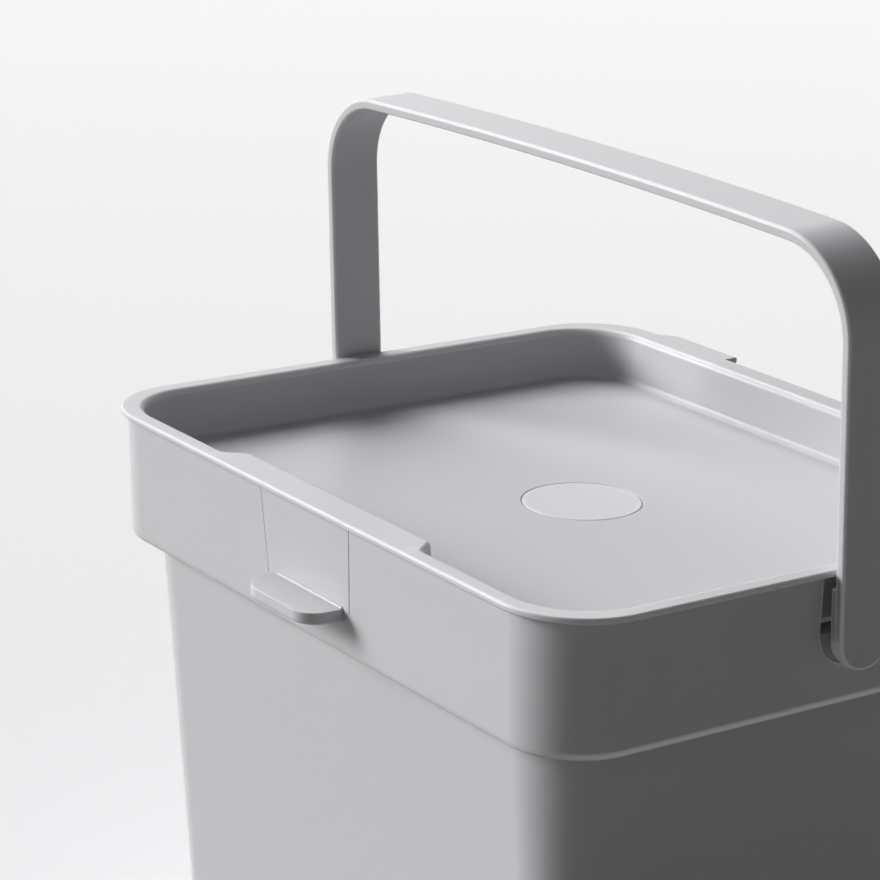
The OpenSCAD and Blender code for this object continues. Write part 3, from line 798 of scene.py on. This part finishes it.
def make_tray_lid():
    """Flange, mouth, tray and underside in one closed loft, then pulled to the housing and covers."""
    floor = TRAY_R - 1.5
    edge = [(29.6, -2.2)] + arc(30.5, -1.7, 0.5, -90, 0, 3) + arc(30.1, -0.9, 0.9, 0, 90, 5)
    inside = (arc(TRAY_R + 2.5, -2.5, 2.5, 90, 180, 7)
              + [(TRAY_R - 0.5, -8.0), (TRAY_R - 1.1, -13.5)] + arc(floor - 3, -16.7, 3, 0, -90, 7))
    outside = [(TRAY_R + 3.0, -2.17), (TRAY_R + 2.4, -2.5), (TRAY_R + 2.2, -3.2),
               (TRAY_R + 1.4, -12.0)] + arc(floor - 0.8, -18.9, 3, 0, -90, 6)
    piece = begin("tray_lid")
    rows = [(RIM_X, RIM_Y, r, z, 0.0) for r, z in reversed(edge)]
    rows = [(TRAY_X, TRAY_Y, r, z, TRAY_MID) for r, z in reversed(inside)] + rows
    rows += [(TRAY_X, TRAY_Y, r, z, TRAY_MID) for r, z in outside]
    edge_rows = range(len(inside) + 1, len(inside) + len(edge) + 1)
    loft(rows)
    # An outline within the tray's floor keeps its middle flat in the shading
    choose(lambda f: len(f.verts) > 20 and f.calc_center_median().z > 0.2395, 'FACE')
    bpy.ops.mesh.inset(thickness=0.012)

    # Cut the walls at the ends of the housing and of the hinge covers
    cover_in, cover_end, cover_tip, cover_out, cover_drop = COVER
    cuts = [HOUSING_HALF + HOUSING_CURVE * i / 10 for i in range(11)]
    cuts += [cover_in, cover_in + 0.12]
    cuts += [cover_end + (cover_tip - cover_end) * i / 10 for i in range(11)]
    for x in cuts:
        for side in (-1, 1):
            bpy.ops.mesh.select_all(action='SELECT')
            bpy.ops.mesh.bisect(plane_co=(side * x * 0.001, 0, 0), plane_no=(1, 0, 0))

    def pull(is_row, in_reach, amount):
        """Move each station of the front or rear wall by its own share."""
        shares = {}
        mesh = bmesh.from_edit_mesh(piece.data)
        layer = mesh.verts.layers.int["row"]
        for vert in mesh.verts:
            x, y, _ = mm(vert)
            if is_row(vert[layer]) and in_reach(y):
                share = round(amount(abs(x)), 4)
                if share:
                    shares.setdefault(share, set()).add(vert.index)
        for share, members in shares.items():
            choose(lambda v: v.index in members)
            bpy.ops.transform.translate(value=(0, share * 0.001, 0))

    pull(lambda row: row not in edge_rows, lambda y: y < -95,
         lambda x: HOUSING_IN * (1 - ease((x - HOUSING_HALF) / HOUSING_CURVE)))
    pull(lambda row: row in edge_rows, lambda y: y > 110,
         lambda x: 0.0 if x < cover_in + 0.06 else
         cover_out * (1 - ease((x - cover_end) / (cover_tip - cover_end))))

    def cover_edge(face):
        """Whether a face lies under the flange at its rear edge, between the ends of a cover."""
        middle = face.calc_center_median() * 1000
        reach = [mm(vert)[1] for vert in face.verts]
        return (face.normal.z < -0.9 and middle.z > RIM - 3.5 and middle.y > 121.9
                and cover_in < abs(middle.x) < cover_tip and max(reach) - min(reach) < 2.6)

    # The covers' rear skin hangs from the flange's underside
    choose(cover_edge, 'FACE')
    bpy.ops.mesh.extrude_region_move(TRANSFORM_OT_translate={"value": (0, 0, -cover_drop * 0.001)})
    tidy_normals()
    settle()

    # Seat of the round inlay
    seat_r = 22.4
    bpy.ops.mesh.primitive_cylinder_add(vertices=160, radius=seat_r * 0.001, depth=0.004,
                                        location=place(0, TRAY_MID, -18.8))
    combine(piece, bpy.context.object, 'DIFFERENCE')
    edit(piece)

    def seat_rim(edge):
        return sharp(edge, 60) and all(
            abs(math.hypot(mm(v)[0], mm(v)[1] - TRAY_MID) - seat_r) < 0.02 and mm(v)[2] > -19.9
            for v in edge.verts)

    bevel_where(seat_rim, 0.25, 3)

    # Knuckles under the covers, bored for the pins
    parts = []
    knuckle_r, bore_r, root = 3, 1.55, -1.5
    section = ([(HINGE_Y - knuckle_r, root)] + arc(HINGE_Y, HINGE_Z, knuckle_r, 180, 360, 16)
               + [(HINGE_Y + knuckle_r, root)])
    for side in (-1, 1):
        for start, end in ((cover_in + 0.06, 80.5), (97.5, cover_end)):
            length = end - start
            knuckle = slab("knuckle", [(start, y, z) for y, z in section], (length, 0, 0))
            bevel_where(lambda e: sharp(e, 60), 0.25, 2)
            tidy_normals()
            bore = barrel("bore", bore_r, start - 1, length + 2, HINGE_Y, HINGE_Z)
            combine(knuckle, bore, 'DIFFERENCE')
            parts.append(knuckle if side > 0 else mirror_in_x(knuckle))
    catch = block("catch", (-11, -112.45, -12), (11, -108, -10))
    bevel_where(sharp, 0.35, 2)
    tidy_normals()
    parts.append(catch)
    # The two ribs that hold the seal
    for r in (GASKET_R - 1.0, GASKET_R + 3.5):
        rib = begin("seal_rib")
        loft([(BODY_X, BODY_Y, r + out, z) for out, z in (
            (0.0, -21.0), (0.0, -22.8), (0.2, -22.95), (0.7, -22.92), (0.9, -22.8), (0.9, -21.0))],
             closed=True)
        tidy_normals()
        cutter = block("rib_cut", (-55, -113, -24), (55, -109.3, -20))
        combine(rib, cutter, 'DIFFERENCE')
        parts.append(rib)
    join(piece, *parts)
    # Painted highlight on the lid's narrow rounded edges
    smooth(piece, painted_glow=lambda point, normal: 0.35)
    return piece


def make_round_inlay():
    """The disc that fills the tray's round seat."""
    settle()
    radius, top, thick = 22.0, -19.7, 1.1
    bpy.ops.mesh.primitive_cylinder_add(vertices=160, radius=radius * 0.001, depth=thick * 0.001,
                                        location=(0, 0, 0))
    piece = bpy.context.object
    piece.name = piece.data.name = "round_inlay"
    bpy.ops.object.mode_set(mode='EDIT')
    bpy.ops.mesh.select_all(action='SELECT')
    bpy.ops.transform.translate(value=place(0, TRAY_MID, top - thick / 2))
    bevel_where(lambda e: sharp(e, 60) and all(mm(v)[2] > -20 for v in e.verts), 0.35, 4)
    choose(lambda f: len(f.verts) > 20 and f.normal.z > 0.9, 'FACE')
    bpy.ops.mesh.inset(thickness=0.0016)
    tidy_normals()
    smooth(piece)
    return piece


def make_lid_gasket():
    """The soft ring between the lid's two ribs."""
    r = GASKET_R
    section = [(r + 3.4, -21.9), (r, -21.93)] + arc(r + 1.7, -22.3, 1.7, 180, 360, 10)
    piece = begin("lid_gasket")
    loft([(BODY_X, BODY_Y, a, b) for a, b in section], closed=True)
    tidy_normals()
    smooth(piece, 60)
    return piece


# -------------------------------------------------------------------- handle

# Outer face, thickness and half width of the band; corner radius, top and bow of the arch and height
# of the axis; lean in degrees and centre of the legs' round ends
LEG_X, BAND_T, BAND_HALF = 154.7, 3.9, 10.85
ARCH_R, ARCH_TOP, ARCH_BOW, PIVOT = 33.0, 111.7, 1.9, -28.8
LEAN, LEG_END = 2.5, -24.5


def make_carry_bail():
    """A flat strip spun round the bail's corners and bow, given its thickness and round ends."""
    bow_r = ((LEG_X - ARCH_R) ** 2 + ARCH_BOW ** 2) / (2 * ARCH_BOW)
    bow_z = ARCH_TOP - bow_r
    corner_z = bow_z + math.sqrt((bow_r - ARCH_R) ** 2 - (LEG_X - ARCH_R) ** 2)
    corner = math.atan2(corner_z - bow_z, LEG_X - ARCH_R)
    foot = LEG_END - BAND_HALF
    piece = begin("carry_bail")
    draw([place(-LEG_X, -BAND_HALF, foot), place(-LEG_X, BAND_HALF, foot)])
    bpy.ops.mesh.select_mode(type='EDGE')
    bpy.ops.mesh.select_all(action='SELECT')
    heights = (12.0, 40.0, corner_z - foot - 52.0)
    for height in heights:
        bpy.ops.mesh.extrude_edges_move(TRANSFORM_OT_translate={"value": (0, 0, height * 0.001)})
    for turn, x, z in ((corner, ARCH_R - LEG_X, corner_z), (math.pi - 2 * corner, 0, bow_z),
                       (corner, LEG_X - ARCH_R, corner_z)):
        bpy.ops.mesh.spin(steps=STEPS, angle=-turn, center=place(x, 0, z), axis=(0, 1, 0))
    for height in reversed(heights):
        bpy.ops.mesh.extrude_edges_move(TRANSFORM_OT_translate={"value": (0, 0, -height * 0.001)})
    tidy_normals()
    mesh = bmesh.from_edit_mesh(piece.data)
    crown = max(mesh.faces, key=lambda f: f.calc_center_median().z)
    if crown.normal.z < 0:
        bpy.ops.mesh.flip_normals()
    choose(lambda v: mm(v)[2] < foot + 0.01)
    bpy.ops.mesh.bevel(offset=BAND_HALF * 0.00099, segments=28, affect='VERTICES', profile=0.5)
    bpy.ops.mesh.select_mode(type='VERT')
    bpy.ops.mesh.select_all(action='SELECT')
    bpy.ops.mesh.remove_doubles(threshold=0.00002)
    pick(piece)
    wall = piece.modifiers.new("wall", 'SOLIDIFY')
    wall.thickness = BAND_T * 0.001
    wall.offset = -1
    wall.use_even_offset = True
    bpy.ops.object.modifier_apply(modifier="wall")
    edges = piece.modifiers.new("edges", 'BEVEL')
    edges.width = 0.0011
    edges.segments = 5
    edges.limit_method = 'ANGLE'
    edges.angle_limit = math.radians(50)
    bpy.ops.object.modifier_apply(modifier="edges")

    # Below the flange each leg is thicker, and its hub turns in the collar's slot
    parts = []
    pad_in, pad_t, pad_half, pad_top = 148.4, 3.4, 10.2, -6.0
    hub_r, hub_in, hub_t, bore_r = 6.0, 144.9, 5.5, 3.05
    section = ([(-pad_half, pad_top)] + arc(0, LEG_END, pad_half, 180, 360, 28)
               + [(pad_half, pad_top)])
    for side in (-1, 1):
        pad = slab("leg_pad", [(pad_in, y, z) for y, z in section], (pad_t, 0, 0))
        bevel_where(lambda e: sharp(e, 50), 0.5, 3)
        tidy_normals()
        hub = barrel("leg_hub", hub_r, hub_in, hub_t, 0, PIVOT, 64)
        bevel_where(lambda e: sharp(e, 60), 0.5, 3)
        tidy_normals()
        bore = barrel("pin_bore", bore_r, 144, 8, 0, PIVOT)
        combine(hub, bore, 'DIFFERENCE')
        bore = barrel("pin_bore", bore_r, 144, 7.9, 0, PIVOT)
        combine(pad, bore, 'DIFFERENCE')
        join(pad, hub)
        parts.append(pad if side > 0 else mirror_in_x(pad))
    join(piece, *parts)
    edit(piece)
    bpy.ops.mesh.select_all(action='SELECT')
    bpy.ops.transform.rotate(value=-math.radians(LEAN), orient_axis='X',
                             center_override=place(0, 0, PIVOT))
    # Painted highlight on the bail's narrow rounded edges
    smooth(piece, painted_glow=lambda point, normal: 0.5)
    return piece


# ------------------------------------------------------------ the whole bin

bucket_shell = make_bucket()
collar_frame = make_collar()
press_latch = make_press_latch()
tray_lid = make_tray_lid()
round_inlay = make_round_inlay()
lid_gasket = make_lid_gasket()
carry_bail = make_carry_bail()

finish(bucket_shell, SHELL, "bin", "shell", "bucket")
finish(collar_frame, SHELL, "bin", "shell", "collar")
finish(press_latch, SHELL, "latch", "shell", "latch_tongue")
finish(tray_lid, SHELL, "lid", "shell", "lid")
finish(round_inlay, INLAY, "lid", "inlay", "lid_disc")
finish(lid_gasket, GASKET, "lid", "seal", "lid_seal")
finish(carry_bail, SHELL, "handle", "shell", "handle")
for name in ("hinge_pin_left", "hinge_pin_right", "handle_pin_left", "handle_pin_right"):
    for material_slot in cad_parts[name].material_slots:
        material_slot.material = PIN_STEEL


# -------------------------------------------------- floor, light and camera

def make_floor():
    """A large sheet, pale for the camera and in reflections, that throws little light back."""
    settle()
    bpy.ops.mesh.primitive_plane_add(size=16, location=(0, 0, 0))
    floor = bpy.context.object
    floor.name = floor.data.name = "studio_floor"
    bpy.ops.object.mode_set(mode='EDIT')
    bpy.ops.mesh.select_all(action='SELECT')
    bpy.ops.mesh.subdivide(number_cuts=3)
    settle()
    material, tree, shader, where = shaded("pale_paper")
    ray = tree.nodes.new('ShaderNodeLightPath')
    seen = math_node(tree, 'MAXIMUM', ray.outputs['Is Camera Ray'], ray.outputs['Is Glossy Ray'])
    away = tree.nodes.new('ShaderNodeVectorMath')
    away.operation = 'DOT_PRODUCT'
    tree.links.new(where, away.inputs[0])
    away.inputs[1].default_value = (-0.8, 0.6, 0.0)
    # Painted light: the floor grows paler away from the camera, towards the back left, for a lighter
    # backdrop there
    far = math_node(tree, 'POWER', span(tree, away.outputs['Value'], -0.1, 2.7), 0.6)
    near, beyond, thrown = (0.775, 0.78, 0.79, 1), (0.98, 0.98, 0.985, 1), (0.2, 0.2, 0.2, 1)
    pale = mix_colour(tree, far, near, beyond)
    tree.links.new(mix_colour(tree, seen, thrown, pale), shader.inputs['Base Color'])
    shader.inputs['Roughness'].default_value = 1.0
    shader.inputs['Specular IOR Level'].default_value = 0.0
    floor.data.materials.append(material)


def sun(name, energy, angle, towards):
    """A soft sun; towards points from the bin to the light."""
    light = bpy.data.lights.new(name, 'SUN')
    light.energy = energy
    light.angle = math.radians(angle)
    lamp = bpy.data.objects.new(name, light)
    bpy.context.scene.collection.objects.link(lamp)
    lamp.rotation_euler = Vector(towards).to_track_quat('Z', 'Y').to_euler()


def make_light():
    """A key as low as the camera, so that the front shows few shadows, a high side light and a fill."""
    sun("low_key", 3.15, 26, (-0.702, -0.627, 0.339))
    sun("high_side", 2.3, 40, (-0.70, 0.12, 0.70))
    sun("low_front_fill", 1.0, 40, (-0.74, -0.67, 0.03))
    world = bpy.context.scene.world or bpy.data.worlds.new("room")
    bpy.context.scene.world = world
    world.use_nodes = True
    tree = world.node_tree
    sky = tree.nodes["Background"]
    ray = tree.nodes.new('ShaderNodeLightPath')
    level = span(tree, ray.outputs['Is Glossy Ray'], 0.0, 1.0, 0.075, 0.8)
    sky.inputs['Color'].default_value = (0.96, 0.98, 1.0, 1)
    tree.links.new(level, sky.inputs['Strength'])


def make_camera():
    """The camera that was fitted to the photo."""
    camera = bpy.data.cameras.new("photo_camera")
    camera.lens = 132.0477
    camera.sensor_width = 36.0
    camera.clip_end = 50.0
    eye = bpy.data.objects.new("photo_camera", camera)
    bpy.context.scene.collection.objects.link(eye)
    eye.location = (0.89414, -0.68390, 0.60232)
    eye.rotation_euler = tuple(math.radians(a) for a in (73.16016, -1.27359, 55.70977))
    bpy.context.scene.camera = eye


make_floor()
make_light()
make_camera()
bpy.context.scene.view_settings.view_transform = 'Standard'
